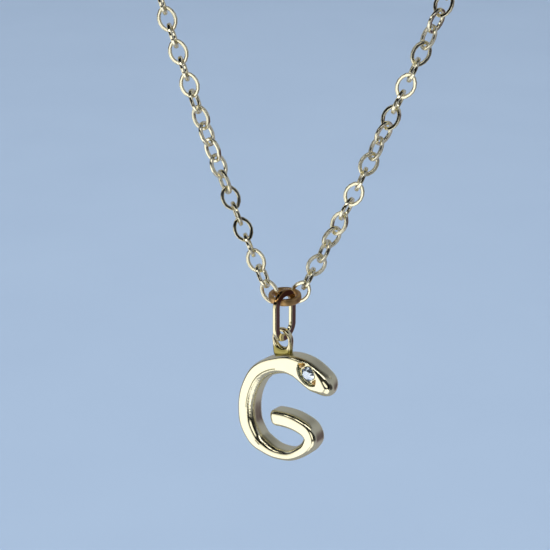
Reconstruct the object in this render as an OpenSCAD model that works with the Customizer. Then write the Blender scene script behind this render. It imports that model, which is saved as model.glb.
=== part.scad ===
// Initial pendant: a cast letter G with a set stone, hanging on a flat oval cable chain.
// Millimetres, +Z up, +X to the wearer's left as seen from the front, the viewer on the -Y side.
// The origin is the middle of the clasp, where the necklace hangs at the nape.

/* [Letter] */
// Height of the letter over its outside edges
letter_h = 14.2; // [11:0.1:22]
// Width of the letter's stroke
stroke_w = 2.15; // [1.8:0.05:2.6]
// Depth of the letter from front to back
letter_depth = 2.25; // [1.8:0.05:3.4]
// Radius of the softened edges
edge_r = 0.55; // [0.2:0.05:0.6]
// Length over which the tip of the head rounds off
head_round = 1.5; // [0.8:0.05:2]
// Length over which the end of the middle bar rounds off
bar_round = 0.9; // [0.5:0.05:1.4]
// Turn of the hanging letter about the vertical
letter_turn = -22.7; // [-30:0.1:-15]

/* [Stone setting] */
// Length of the pointed oval recess
recess_len = 3.3; // [2.8:0.05:4.2]
// Width of the recess
recess_w = 2.4; // [2.1:0.05:3]
// Depth of the recess
recess_depth = 0.45; // [0.3:0.05:0.7]
// Width of the rim that the head leaves beside the recess
rim_w = 0.45; // [0.3:0.05:0.8]
// Diameter of the round stone
stone_d = 1.8; // [1.3:0.05:2]
// Width of the stone's flat table, as a share of its diameter
table_share = 0.56; // [0.45:0.01:0.65]
// Diameter of the beads that hold the stone
bead_d = 0.5; // [0.35:0.05:0.6]

/* [Eye] */
// Outside diameter of the eye ring
eye_od = 2.8; // [2.5:0.05:3.6]
// Width of the eye ring's band
eye_band = 0.45; // [0.3:0.05:0.55]
// Thickness of the eye ring from front to back
eye_thick = 0.75; // [0.4:0.05:0.9]
// How far the middle of the eye stands to the left of the bail
eye_side = 0.2; // [0:0.05:0.4]
// Height of the foot under the eye ring
foot_h = 0.6; // [0.2:0.05:0.8]
// Width of the foot in the middle of the letter's stroke
foot_w = 2.4; // [1.8:0.1:2.8]
// Thickness of the foot from front to back
foot_thick = 0.6; // [0.4:0.05:0.7]

/* [Bail] */
// Outside length of the long oval link
bail_len = 6.3; // [5.6:0.1:9]
// Outside width of the long oval link
bail_w = 3.75; // [3.5:0.05:4]
// Width of its band
bail_band = 0.85; // [0.6:0.05:0.95]
// Thickness of its band
bail_thick = 0.5; // [0.35:0.05:0.6]

/* [Jump ring] */
// Outside diameter of the jump ring
ring_od = 3.8; // [3.7:0.05:4.8]
// Width of its band
ring_band = 0.5; // [0.4:0.05:0.55]
// Height of its band
ring_thick = 0.85; // [0.6:0.05:0.9]
// How far the bail pulls the front of the ring down
ring_tilt = 2; // [0:1:20]
// How far the jump ring lies to the right of the clasp
ring_side = 0.1; // [0:0.05:1]
// How far behind the ring's right side the chain hooks on
right_hook = 32; // [26:1:36]
// How far behind the ring's left side the chain hooks on
left_hook = 0; // [-10:1:20]
// How far the bail hangs to the right of the ring's front
bail_side = 14; // [8:1:16]

/* [Chain] */
// Outside length of a link
link_len = 3; // [2.7:0.05:3.6]
// Outside width of a link
link_w = 2.28; // [2:0.02:2.6]
// Width of a link's band
link_band = 0.4; // [0.3:0.02:0.42]
// Thickness of a link
link_thick = 0.4; // [0.3:0.02:0.44]
// Play between the ends of two links
link_play = 0.26; // [0.2:0.02:0.4]

/* [Clasp] */
// Diameter of the barrel
clasp_d = 3; // [2.4:0.1:4]
// Shortest distance from the middle of the clasp to the middle of its end loop
clasp_reach = 5; // [4.5:0.5:9]

/* [Fits] */
// Gap where one piece hangs in another
hang_gap = 0.2; // [0.08:0.01:0.3]
// Gap over the jump ring's band, which the bail crosses on the slant
bail_gap = 0.34; // [0.2:0.01:0.45]
// Gap where the chain hooks under the jump ring's band
hook_gap = 0.23; // [0.1:0.01:0.28]
// Gap between the stone and its seat
stone_gap = 0.05; // [0.03:0.01:0.08]

/* [Hidden] */
$fn = 64;
// Steps of the letter's rounded ends, of its length and of each softened edge
cap_angles = [15, 30, 45, 60, 75];
body_steps = 72;
corner_steps = 3;
// Points of a smooth curve between two chosen ones, and half the stretch that gives its heading
samples = 12;
fine = 0.05;
// Share of a pressed wire's diagonal that its rounded corners keep
press = 0.88;
// Radius of a link's ends, as a share of half its width
link_end = 0.77;
// How far a cut starts in front of the face it goes into
over = 1;

// Heights of the stone's crown, girdle and pavilion, and how far down the crown its kites end
crown_h = 0.16 * stone_d;
girdle_h = 0.04 * stone_d;
pavilion_h = 0.42 * stone_d;
kite_drop = 0.66;

// Stroke of the letter along its middle line: across and up, as shares of its height, and width,
// as a share of the stroke. Across is counted from near the eye, up from the lowest stretch.
stroke = [
    // tip of the head, its brow and the top arm
    [0.613, 0.840, 1.00], [0.493, 0.904, 1.00], [0.397, 0.943, 1.00], [0.294, 0.981, 1.00],
    [0.192, 1.000, 1.00], [0.082, 0.992, 1.00], [-0.040, 0.949, 1.00], [-0.164, 0.885, 1.00],
    [-0.277, 0.787, 1.00],
    // back of the letter
    [-0.357, 0.654, 1.00], [-0.407, 0.509, 1.02], [-0.424, 0.362, 1.06], [-0.410, 0.224, 1.10],
    // foot and lower bowl
    [-0.334, 0.097, 1.04], [-0.194, 0.023, 0.84], [-0.033, 0.000, 0.68], [0.122, 0.030, 0.62],
    [0.252, 0.114, 0.68], [0.347, 0.218, 0.78], [0.374, 0.308, 0.88], [0.332, 0.364, 0.93],
    // middle bar
    [0.232, 0.395, 0.93], [0.099, 0.404, 0.93], [-0.020, 0.390, 0.92], [-0.119, 0.371, 0.90]
];
// Distance of the recess from the tip of the head, in recess lengths
recess_from_tip = 1.09;
// Slant of the recess against level, and how far it sits above the middle line in recess widths
recess_slant = -41;
recess_lift = 0.07;
// Middle and reach of the swelling round the recess, as shares of the recess's place and length
swell_at = 0.9;
swell_len = 0.81;
// Powers that blunt the round of the head's tip and of the bar's end
tip_blunt = 0.8;
bar_blunt = 0.6;
// Height of a bead's middle above the floor of the recess, in bead diameters
bead_rise = 0.35;
// Share of the last link's band that stands in the barrel
loop_seat = 0.75;

// Way of one side of the chain from near the ring's centre to the nape, for the right side.
route = [
    [2, 0.4, 0.6], [3.8, 0.8, 4.2], [9.2, 2.1, 16.4], [15.8, 4.4, 32.6], [28, 10.4, 64.5], [39.5, 20.4, 94.5],
    [47.5, 36.4, 114.5], [49.5, 57.4, 122.5], [44, 77.4, 121.5], [30, 92, 117], [9, 98.5, 113.5],
    [-1.8, 99, 113.3]
];
// Turn of the links about the chain, as link number and degrees
right_turns = [
    [0, 10], [3, 24], [7, 84], [9, 104], [12, 148], [14, 170], [16, 192], [20, 250], [23, 264], [40, 360],
    [110, 360]
];
left_turns = [
    [0, 6], [2, -8], [4, -34], [6, -42], [8, -70], [11, -90], [13, -116], [17, -119], [40, -180],
    [110, -180]
];

// Smooth curve through chosen points: each tangent is the mean of its two chords' slopes
function chord(p, i) = norm(p[i + 1] - p[i]);
function slope(p, i) = (p[i + 1] - p[i]) / chord(p, i);
function inner_tangent(p, i) =
    (slope(p, i - 1) * chord(p, i) + slope(p, i) * chord(p, i - 1)) / (chord(p, i - 1) + chord(p, i));
function tangent(p, i) =
    i == 0 ? 1.5 * slope(p, 0) - 0.5 * inner_tangent(p, 1)
    : i == len(p) - 1 ? 1.5 * slope(p, i - 1) - 0.5 * inner_tangent(p, i - 1)
    : inner_tangent(p, i);
function hermite(p, i, t) =
    let (d = chord(p, i))
    (2 * t ^ 3 - 3 * t ^ 2 + 1) * p[i] + (t ^ 3 - 2 * t ^ 2 + t) * d * tangent(p, i)
    + (3 * t ^ 2 - 2 * t ^ 3) * p[i + 1] + (t ^ 3 - t ^ 2) * d * tangent(p, i + 1);
function smooth(p) = [
    for (i = [0 : len(p) - 2], k = [0 : samples - 1]) hermite(p, i, k / samples),
    p[len(p) - 1]
];
// Distance along a fine line up to each of its points
function distances(p) = [
    for (i = 0, s = 0; i < len(p); s = i < len(p) - 1 ? s + chord(p, i) : s, i = i + 1) s
];
// Table of distance against coordinate, for lookup
function track(p) = let (s = distances(p)) [for (a = [0 : 2]) [for (i = [0 : len(p) - 1]) [s[i], p[i][a]]]];
function at(tr, s) = [lookup(s, tr[0]), lookup(s, tr[1]), lookup(s, tr[2])];
function span(tr) = tr[0][len(tr[0]) - 1][0];
function heading(tr, s, h) = let (d = at(tr, s + h) - at(tr, s - h)) d / norm(d);

// Letter, in its own plane: x across, z up, the middle of its depth at y = 0
stroke_curve = smooth(stroke);
letter_line = track([for (q = stroke_curve) (letter_h - stroke_w) * [q[0], 0, q[1]]]);
letter_span = span(letter_line);
weight_line = [for (i = [0 : len(stroke_curve) - 1]) [letter_line[0][i][0], stroke_curve[i][2]]];
recess_at = recess_from_tip * recess_len;
head_w = recess_w + 2 * rim_w;
// The head swells over the recess and eases back into the stroke on both sides
function swell(s) = exp(-pow((s - swell_at * recess_at) / (swell_len * recess_len), 2));
function stroke_width(s) = stroke_w * lookup(s, weight_line) + (head_w - stroke_w) * swell(s);
// Steps along the stroke as distance and size, which falls off in a round at each end
cap_span = letter_span - head_round - bar_round;
letter_steps = concat(
    [for (a = cap_angles) [head_round * (1 - cos(a)), pow(sin(a), tip_blunt)]],
    [for (k = [0 : body_steps]) [head_round + cap_span * k / body_steps, 1]],
    [for (i = [1 : len(cap_angles)]) let (a = cap_angles[len(cap_angles) - i])
        [letter_span - bar_round * (1 - cos(a)), pow(sin(a), bar_blunt)]]
);
// Where the letter balances, found from the stroke's width along its middle line
balance_steps = [for (k = [1 : body_steps]) letter_span * (k - 0.5) / body_steps];
function total(v) = v * [for (q = v) 1];
balance_x = total([for (s = balance_steps) at(letter_line, s)[0] * stroke_width(s)])
    / total([for (s = balance_steps) stroke_width(s)]);
// Middle of the eye, and height of the top arm's middle line under it
eye_x = balance_x - eye_side;
arm_line = [
    for (k = [0 : body_steps / 3]) let (p = at(letter_line, letter_span * k / body_steps)) [-p[0], p[2]]
];
arm_z = lookup(-eye_x, arm_line);
eye_z = arm_z + stroke_w / 2 + foot_h + eye_od / 2;
eye_bore = eye_od - 2 * eye_band;

// Pieces that hang in each other, from the middle of the jump ring's band at its lowest point down
ring_r = (ring_od - ring_band) / 2;
ring_middle = [ring_side, 0, 0];
function about_z(p, a) = [p[0] * cos(a) - p[1] * sin(a), p[0] * sin(a) + p[1] * cos(a), p[2]];
function on_ring(a) = let (b = a - bail_side)
    ring_middle + ring_r * about_z([cos(b), sin(b) * cos(ring_tilt), sin(b) * sin(ring_tilt)], bail_side);
ring_front = on_ring(bail_side - 90);
bail_top_z = ring_thick / 2 + bail_gap + bail_band / 2;
bail_foot_z = bail_top_z + bail_band - bail_len;
eye_hang = sqrt((eye_bore / 2) ^ 2 - eye_side ^ 2);
letter_base = [-balance_x, 0, bail_foot_z + bail_band / 2 + hang_gap - eye_hang - eye_z];

// Link of the chain, and where its middle lies against the ring that it hooks on
link_pitch = link_len - 2 * link_band - link_play;
hook_reach = link_len / 2 - link_band - hook_gap - ring_thick / 2;
// Each side starts at its own hook on the ring and eases into the common curve further up
hook_ease = 12;
chain_curve = smooth(route);
chain_steps = distances(chain_curve);
function chain_track(hook) = let (shift = hook + hook_reach * slope(route, 0) - route[0])
    track([for (i = [0 : len(chain_curve) - 1])
        chain_curve[i] + max(0, 1 - chain_steps[i] / hook_ease) * shift]);
function mirrored(p) = [-p[0], p[1], p[2]];
right_line = chain_track(on_ring(right_hook));
left_line = chain_track(mirrored(on_ring(180 - left_hook)));
link_count = max([
    for (n = [1 : floor(span(right_line) / link_pitch)]) if (at(right_line, n * link_pitch)[0] >= clasp_reach) n
]);
loop_at = at(right_line, link_count * link_pitch);
nape = [0, loop_at[1], loop_at[2]];
neck_mid_y = nape[1] / 2;

// Frame of the hanging pieces: the origin is the jump ring's front wire, turned with the letter
module pendant_frame() {
    translate(ring_front - nape) rotate([0, 0, letter_turn]) children();
}

// Section of a wire pressed flat: a round cut by a square
module pressed_wire(band, thick) {
    intersection() {
        circle(d = press * norm([band, thick]));
        square([band, thick], center = true);
    }
}

// Section of the stroke, as pairs of across and depth, with softened edges
function section(w, d) = let (r = min(edge_r, 0.45 * w, 0.45 * d)) [
    for (corner = [0 : 3], k = [0 : corner_steps])
        let (a = 90 * corner + 90 * k / corner_steps, side = corner == 0 || corner == 3 ? 1 : -1,
            face = corner < 2 ? 1 : -1)
        [side * (w / 2 - r) + r * cos(a), face * (d / 2 - r) + r * sin(a)]
];
function across(s) = let (d = heading(letter_line, s, fine)) [-d[2], 0, d[0]];

module letter_stroke() {
    rows = [
        for (q = letter_steps) let (p = at(letter_line, q[0]), n = across(q[0]))
            [for (c = section(q[1] * stroke_width(q[0]), q[1] * letter_depth)) p + c[0] * n + [0, c[1], 0]]
    ];
    m = len(rows[0]);
    last = len(rows) - 1;
    points = concat([at(letter_line, 0)], [for (row = rows, p = row) p], [at(letter_line, letter_span)]);
    faces = concat(
        [for (j = [0 : m - 1]) [0, 1 + (j + 1) % m, 1 + j]],
        [for (i = [0 : last - 1], j = [0 : m - 1], half = [0, 1])
            let (a = 1 + i * m + j, b = 1 + i * m + (j + 1) % m)
            half == 0 ? [a, b, a + m] : [b, b + m, a + m]],
        [for (j = [0 : m - 1]) [1 + last * m + j, 1 + last * m + (j + 1) % m, len(points) - 1]]
    );
    polyhedron(points, faces);
}

// Places a child in the recess: x along the recess, z out of the letter's front face, face at z = 0
module in_recess() {
    translate(at(letter_line, recess_at) - recess_lift * recess_w * across(recess_at))
        translate([0, -letter_depth / 2, 0]) rotate([90, 0, 0]) rotate([0, 0, recess_slant]) children();
}

// Pointed oval between two arcs
module pointed_oval(len, width) {
    arc_r = (len ^ 2 + width ^ 2) / (4 * width);
    intersection_for(side = [-1, 1]) translate([0, side * (arc_r - width / 2)]) circle(arc_r);
}

module recess_cut() {
    translate([0, 0, -recess_depth]) linear_extrude(recess_depth + over) pointed_oval(recess_len, recess_w);
    seat_r = stone_d / 2 + stone_gap;
    seat_h = pavilion_h * seat_r / (stone_d / 2);
    translate([0, 0, -crown_h - girdle_h - seat_h]) cylinder(h = seat_h, r1 = 0, r2 = seat_r);
}

module beads() {
    for (side = [-1, 1])
        translate([side * (stone_d / 2 + stone_gap + bead_d / 2), 0, bead_rise * bead_d - recess_depth])
            sphere(d = bead_d);
}

module eye() {
    translate([eye_x, 0, eye_z]) rotate([90, 0, 0]) {
        rotate_extrude() translate([(eye_od - eye_band) / 2, 0]) pressed_wire(eye_band, eye_thick);
        linear_extrude(foot_thick, center = true) difference() {
            polygon([
                [-eye_od / 2, 0], [eye_od / 2, 0],
                [foot_w / 2, arm_z - eye_z], [-foot_w / 2, arm_z - eye_z]
            ]);
            circle(d = eye_od - eye_band);
        }
    }
}

module letter() {
    color("gold") pendant_frame() translate(letter_base) union() {
        difference() {
            letter_stroke();
            in_recess() recess_cut();
        }
        in_recess() beads();
        eye();
    }
}

// Round brilliant: flat table, kites, girdle of 16 sides and a pointed pavilion
module stone() {
    table_r = table_share * stone_d / 2;
    kite_r = (table_r + 2 * stone_d / 2) / 3;
    girdle = [for (k = [0 : 15]) stone_d / 2 * [cos(22.5 * k), sin(22.5 * k)]];
    points = concat(
        [for (k = [0 : 7]) [table_r * cos(45 * k), table_r * sin(45 * k), 0]],
        [for (k = [0 : 7]) [kite_r * cos(45 * k + 22.5), kite_r * sin(45 * k + 22.5), -kite_drop * crown_h]],
        [for (q = girdle) [q[0], q[1], -crown_h]],
        [for (q = girdle) [q[0], q[1], -crown_h - girdle_h]],
        [[0, 0, -crown_h - girdle_h - pavilion_h]]
    );
    faces = concat(
        [[for (k = [7 : -1 : 0]) k]],
        [for (k = [0 : 7]) [k, (k + 1) % 8, 8 + k]],
        [for (k = [0 : 7]) [k, 8 + k, 16 + 2 * k]],
        [for (k = [0 : 7]) [k, 16 + 2 * k, 8 + (k + 7) % 8]],
        [for (k = [0 : 7]) [8 + k, 17 + 2 * k, 16 + 2 * k]],
        [for (k = [0 : 7]) [8 + k, 16 + (2 * k + 2) % 16, 17 + 2 * k]],
        [for (k = [0 : 15]) [16 + k, 16 + (k + 1) % 16, 32 + k]],
        [for (k = [0 : 15]) [32 + k, 16 + (k + 1) % 16, 32 + (k + 1) % 16]],
        [for (k = [0 : 15]) [32 + k, 32 + (k + 1) % 16, 48]]
    );
    color("aliceblue") pendant_frame() translate(letter_base) in_recess() polyhedron(points, faces);
}

// Long oval link that hangs on the jump ring and carries the eye
module bail() {
    straight = bail_len - bail_w;
    wire_r = (bail_w - bail_band) / 2;
    top_arc = bail_top_z - wire_r;
    color("gold") pendant_frame() translate([0, 0, top_arc]) rotate([90, 0, 90]) union() {
        rotate_extrude(angle = 180) translate([wire_r, 0]) pressed_wire(bail_band, bail_thick);
        translate([0, -straight]) rotate([0, 0, 180])
            rotate_extrude(angle = 180) translate([wire_r, 0]) pressed_wire(bail_band, bail_thick);
        for (side = [-1, 1])
            translate([side * wire_r, 0]) rotate([90, 0, 0]) linear_extrude(straight)
                pressed_wire(bail_band, bail_thick);
    }
}

module jump_ring() {
    color("goldenrod") translate(ring_middle - nape) rotate([0, 0, bail_side]) rotate([ring_tilt, 0, 0])
        rotate_extrude() translate([ring_r, 0]) pressed_wire(ring_band, ring_thick);
}

// Places a child on the chain: x along it, z out of the link's flat face, away from the neck
module on_chain(line, s, turn) {
    c = at(line, s);
    u = heading(line, s, link_pitch / 2);
    out = [c[0], c[1] - neck_mid_y, 0];
    flat = out - (out * u) * u;
    n = flat / norm(flat);
    v = cross(n, u);
    multmatrix([
        [u[0], v[0], n[0], c[0] - nape[0]],
        [u[1], v[1], n[1], c[1] - nape[1]],
        [u[2], v[2], n[2], c[2] - nape[2]],
        [0, 0, 0, 1]
    ])
        rotate([turn, 0, 0]) children();
}

// Oval of four arcs, shrunk by an inset
module oval(inset) {
    half_l = link_len / 2;
    half_w = link_w / 2;
    end_r = link_end * half_w;
    side_r = ((half_l - end_r) ^ 2 + half_w ^ 2 - end_r ^ 2) / (2 * (half_w - end_r));
    meet_x = (half_l - end_r) * side_r / (side_r - end_r);
    intersection() {
        intersection_for(side = [-1, 1]) translate([0, side * (side_r - half_w)]) circle(side_r - inset);
        square([2 * meet_x, 2 * link_w], center = true);
    }
    for (side = [-1, 1]) translate([side * (half_l - end_r), 0]) circle(end_r - inset);
}

module link() {
    translate([0, 0, -link_thick / 2]) linear_extrude(link_thick) difference() {
        oval(0);
        oval(link_band);
    }
}

// Every second link stands across its neighbours
function link_turn(i, turns) = 90 * (i % 2) + lookup(i, turns);
module chain_side(line, turns) {
    for (i = [0 : link_count - 1]) on_chain(line, i * link_pitch, link_turn(i, turns)) link();
}

module chain_right() {
    color("gold") chain_side(right_line, right_turns);
}

module chain_left() {
    color("gold") mirror([1, 0, 0]) chain_side(left_line, left_turns);
}

// Plain barrel with an end loop each side, which the last links pass through
module clasp() {
    reach = loop_at[0] - link_len / 2 + loop_seat * link_band;
    color("gold") {
        translate([-reach, 0, 0]) rotate([0, 90, 0]) cylinder(h = 2 * reach, d = clasp_d);
        on_chain(right_line, link_count * link_pitch, link_turn(link_count, right_turns)) link();
        mirror([1, 0, 0])
            on_chain(left_line, link_count * link_pitch, link_turn(link_count, left_turns)) link();
    }
}

letter();
stone();
bail();
jump_ring();
chain_left();
chain_right();
clasp();
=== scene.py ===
# %% [markdown]
# # An initial pendant on an oval cable chain
# The object is a small gold-plated letter G, cast thick and softly polished, with one round stone set
# in its head. It hangs by an eye from a long oval link, the bail, and the bail hangs on a flat jump
# ring that joins the two sides of the chain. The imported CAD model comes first, because every piece
# made here takes its place from it and has to stay inside its box.

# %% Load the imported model
import bpy
import numpy as np
from mathutils import Matrix


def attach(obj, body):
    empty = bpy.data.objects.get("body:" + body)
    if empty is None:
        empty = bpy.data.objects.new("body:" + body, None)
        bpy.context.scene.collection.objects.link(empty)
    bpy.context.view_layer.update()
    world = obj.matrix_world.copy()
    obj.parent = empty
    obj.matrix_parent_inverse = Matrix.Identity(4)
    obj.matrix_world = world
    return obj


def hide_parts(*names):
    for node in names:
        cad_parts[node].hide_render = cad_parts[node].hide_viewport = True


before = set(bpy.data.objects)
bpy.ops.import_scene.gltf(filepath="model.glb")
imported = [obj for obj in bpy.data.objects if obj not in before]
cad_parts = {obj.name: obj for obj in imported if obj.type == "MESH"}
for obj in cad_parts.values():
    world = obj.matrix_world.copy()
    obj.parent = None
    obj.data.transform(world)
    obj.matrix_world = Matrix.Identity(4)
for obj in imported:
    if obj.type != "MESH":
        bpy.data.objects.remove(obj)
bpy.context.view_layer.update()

MM = 0.001

# %% [markdown]
# ## Smooth lines through chosen points
# The chain's way round the neck and the middle line of the letter are both smooth curves through a
# few points. A curve object could hold them, but the pieces need positions and headings at exact
# distances, so the curve is worked out here as an array, by the same rule as in the CAD model.

# %% Smooth curve, distance and heading
CURVE_STEPS = 12


def smooth_curve(points):
    """Cubic pieces that share the tangent where they meet. The tangent at a point is the mean of its
    two chords' slopes, each weighted with the other chord's length, and at an end it leans away from
    the next tangent."""
    chords = np.diff(points, axis=0)
    length = np.linalg.norm(chords, axis=1)[:, None]
    slope = chords / length
    inner = (slope[:-1] * length[1:] + slope[1:] * length[:-1]) / (length[:-1] + length[1:])
    tangent = np.vstack([1.5 * slope[:1] - 0.5 * inner[:1], inner, 1.5 * slope[-1:] - 0.5 * inner[-1:]])
    t = (np.arange(CURVE_STEPS) / CURVE_STEPS)[None, :, None]
    start, end, reach = points[:-1, None], points[1:, None], length[:, None]
    curve = ((2 * t**3 - 3 * t**2 + 1) * start + (t**3 - 2 * t**2 + t) * reach * tangent[:-1, None]
             + (3 * t**2 - 2 * t**3) * end + (t**3 - t**2) * reach * tangent[1:, None])
    return np.vstack([curve.reshape(-1, points.shape[1]), points[-1:]])


def distances(line):
    """Distance along a line up to each of its points: the running sum of its chords."""
    return np.concatenate([[0], np.cumsum(np.linalg.norm(np.diff(line, axis=0), axis=1))])


def place(line, s):
    """Points at distances s along a line, each coordinate read between the two nearest points."""
    steps = distances(line)
    return np.stack([np.interp(s, steps, line[:, a]) for a in range(line.shape[1])], axis=-1)


def heading(line, s, half):
    """Unit vector from the point half a stretch before s to the point half a stretch after it."""
    d = place(line, s + half) - place(line, s - half)
    return d / np.linalg.norm(d, axis=-1, keepdims=True)


def unit(v):
    """Vector or vectors of length one."""
    return v / np.linalg.norm(v, axis=-1, keepdims=True)

# %% [markdown]
# ## Where the pieces hang
# All sizes are in millimetres. The chain's way is counted from a point just beside the middle of the
# jump ring, and the nape, where the clasp lies, is the origin of the model. The jump ring is tipped
# forward a little by the weight of the pendant, and the bail hangs at its lowest point, a little to
# the right. These places could be read off the CAD meshes, but formulas keep them exact.

# %% Sizes of the ring and the links
RING_R, RING_BAND, RING_HIGH, RING_TILT, BAIL_SIDE = 1.65, 0.5, 0.85, np.radians(2), np.radians(14)
RING_MIDDLE = np.array([0.1, 0, 0])
LINK_LEN, LINK_WIDE, LINK_BAND, LINK_THICK, LINK_PLAY = 3.0, 2.28, 0.4, 0.4, 0.26
LINK_PITCH = LINK_LEN - 2 * LINK_BAND - LINK_PLAY
RIGHT_HOOK, LEFT_HOOK, HOOK_GAP, HOOK_EASE, CLASP_REACH = 32, 180, 0.23, 12, 5


def turned(points, angle):
    """Points turned about the vertical axis: x' = x cos - y sin, y' = x sin + y cos."""
    c, s = np.cos(angle), np.sin(angle)
    return points @ np.array([[c, s, 0], [-s, c, 0], [0, 0, 1]])


def on_ring(degrees):
    """Point of the ring's middle line: a circle tipped about X, then turned so that its lowest point
    is where the bail hangs."""
    b = np.radians(degrees) - BAIL_SIDE
    tipped = np.array([np.cos(b), np.sin(b) * np.cos(RING_TILT), np.sin(b) * np.sin(RING_TILT)])
    return RING_MIDDLE + RING_R * turned(tipped, BAIL_SIDE)


ring_front = on_ring(np.degrees(BAIL_SIDE) - 90)
print("lowest point of the jump ring's middle line:", np.round(ring_front, 2), "mm")

# %% [markdown]
# ## The way round the neck
# Both sides of a chain on the wearer take the same way: up over the collarbones, round the neck and down
# to the nape. Simulating the chain on a neck would find such a way too, but it would differ each time
# that a size changes. Twelve listed points hold it still, and the left side mirrors the right. Each side
# is only moved a little at its lower end, so that its first link hooks under the ring.

# %% The two sides of the chain
route = np.array([
    [2, 0.4, 0.6], [3.8, 0.8, 4.2], [9.2, 2.1, 16.4], [15.8, 4.4, 32.6], [28, 10.4, 64.5],
    [39.5, 20.4, 94.5], [47.5, 36.4, 114.5], [49.5, 57.4, 122.5], [44, 77.4, 121.5], [30, 92, 117],
    [9, 98.5, 113.5], [-1.8, 99, 113.3],
])
hook_reach = LINK_LEN / 2 - LINK_BAND - HOOK_GAP - RING_HIGH / 2
chain_curve = smooth_curve(route)


def chain_line(hook):
    """The common curve, moved at its lower end so that the first link hooks under the ring. The shift
    fades to nothing over the first few links."""
    shift = hook + hook_reach * unit(route[1] - route[0]) - route[0]
    fade = np.maximum(0, 1 - distances(chain_curve) / HOOK_EASE)[:, None]
    return chain_curve + fade * shift


MIRROR = np.array([-1, 1, 1])
right_line = chain_line(on_ring(RIGHT_HOOK))
left_line = chain_line(on_ring(LEFT_HOOK) * MIRROR)
places = place(right_line, np.arange(1, distances(right_line)[-1] // LINK_PITCH + 1) * LINK_PITCH)
link_count = int(np.flatnonzero(places[:, 0] >= CLASP_REACH)[-1]) + 1
loop_at = place(right_line, link_count * LINK_PITCH)
nape = loop_at * [0, 1, 1]
ring_centre = RING_MIDDLE - nape
print("links on each side:", link_count, "| middle of the jump ring:", np.round(ring_centre, 2), "mm")

# %% [markdown]
# ## Camera
# A camera's viewing angle comes before any surface. It stands 192 mm in front of the ring, a little to
# the right and above, with a long lens, which is what a close portrait of jewellery is usually taken
# with.

# %% Camera
yaw, elevation = np.radians(16.59), np.radians(22.22)
CAMERA_DISTANCE, LENS, AIM_RIGHT, AIM_UP = 191.71, 109.55, -1.14, 2.47
back = np.array([np.sin(yaw) * np.cos(elevation), -np.cos(yaw) * np.cos(elevation), np.sin(elevation)])
right = np.array([np.cos(yaw), np.sin(yaw), 0])
up = np.cross(back, right)
aim = ring_centre + right * AIM_RIGHT + up * AIM_UP
stand = aim + back * CAMERA_DISTANCE

camera = bpy.data.objects.new("camera", bpy.data.cameras.new("camera"))
bpy.context.scene.collection.objects.link(camera)
camera.data.sensor_width = 36
camera.data.lens = LENS
camera.data.clip_start = 1 * MM
rows = np.eye(4)
rows[:3, 0], rows[:3, 1], rows[:3, 2], rows[:3, 3] = right, up, back, stand * MM
camera.matrix_world = Matrix(rows.tolist())
bpy.context.scene.camera = camera
print("camera stands at", np.round(stand, 1), "mm")

# %% [markdown]
# ## Nodes and colours
# Every material below is a small tree of nodes. One function adds a node, sets its choices and fills
# its sockets, either with a value or with another node's output. Colours are written as the sRGB hex
# values that a picture shows, and one function turns them into the linear values that light needs.

# %% Add a node, turn a colour linear
def add_node(tree, kind, choices=None, **sockets):
    """A node of one kind. Choices are its own settings. Each socket, named by its label or by its
    number as _0, _1, takes a value, or a link where another node's output is given."""
    node = tree.nodes.new(kind)
    for name, value in (choices or {}).items():
        setattr(node, name, value)
    for name, value in sockets.items():
        socket = node.inputs[int(name[1:]) if name[0] == "_" else name.replace("_", " ")]
        if isinstance(value, bpy.types.NodeSocket):
            tree.links.new(value, socket)
        else:
            socket.default_value = value
    return node


def linear(hex_colour):
    """sRGB hex to linear: each channel below 0.04045 is divided by 12.92, and above it raised to 2.4."""
    c = np.array([int(hex_colour[i:i + 2], 16) for i in (1, 3, 5)]) / 255
    low, high = c / 12.92, ((c + 0.055) / 1.055) ** 2.4
    return (*np.where(c <= 0.04045, low, high).tolist(), 1.0)


def grain(size_mm):
    """Scale of a noise texture whose features measure that many millimetres."""
    return 1 / (size_mm * MM)


print("linear value of the mid grey #808080:", round(linear("#808080")[0], 3))

# %% [markdown]
# ## Soft studio light
# Polished metal has no colour of its own to show: it shows the room. The room here is a sky with soft
# panels and dark patches in it, each given by the direction it stands in. Lamps could do the same, but
# a panel in the sky has a soft edge and no falloff, and its place on the metal can be worked out from
# one angle.

# %% Directions and patches of sky
world = bpy.data.worlds.new("soft_room")
bpy.context.scene.world = world
world.use_nodes = True
sky = world.node_tree
sky.nodes.clear()
look = add_node(sky, "ShaderNodeTexCoord").outputs["Generated"]


def direction(azimuth, height):
    """Unit vector: azimuth in degrees from +X towards +Y, height in degrees above the horizon."""
    a, h = np.radians(azimuth), np.radians(height)
    return (np.cos(a) * np.cos(h), np.sin(a) * np.cos(h), np.sin(h))


def patch(azimuth, height, even, faded):
    """One in a round patch of sky and nothing outside it: the cosine of the angle from its middle is
    mapped smoothly between the cosines of its faded edge and of its even part."""
    cosine = add_node(sky, "ShaderNodeVectorMath", {"operation": "DOT_PRODUCT"},
                      _0=look, _1=direction(azimuth, height)).outputs["Value"]
    return add_node(sky, "ShaderNodeMapRange", {"interpolation_type": "SMOOTHSTEP"}, Value=cosine,
                    From_Min=np.cos(np.radians(faded)), From_Max=np.cos(np.radians(even))).outputs[0]

# %% [markdown]
# The large low panel in front lights the letter's face. A row of small bright ones, from the left
# round to the right, draws the thin highlight along its upper edges, and the three panels after them
# light the flat sides of the links that look forward. Then come a faint one, for a thin line along the
# right-hand edges, and a rosy one, which the right-hand walls mirror. Between the panels the sky is
# darkened, which gives polished edges their black lines.

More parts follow.
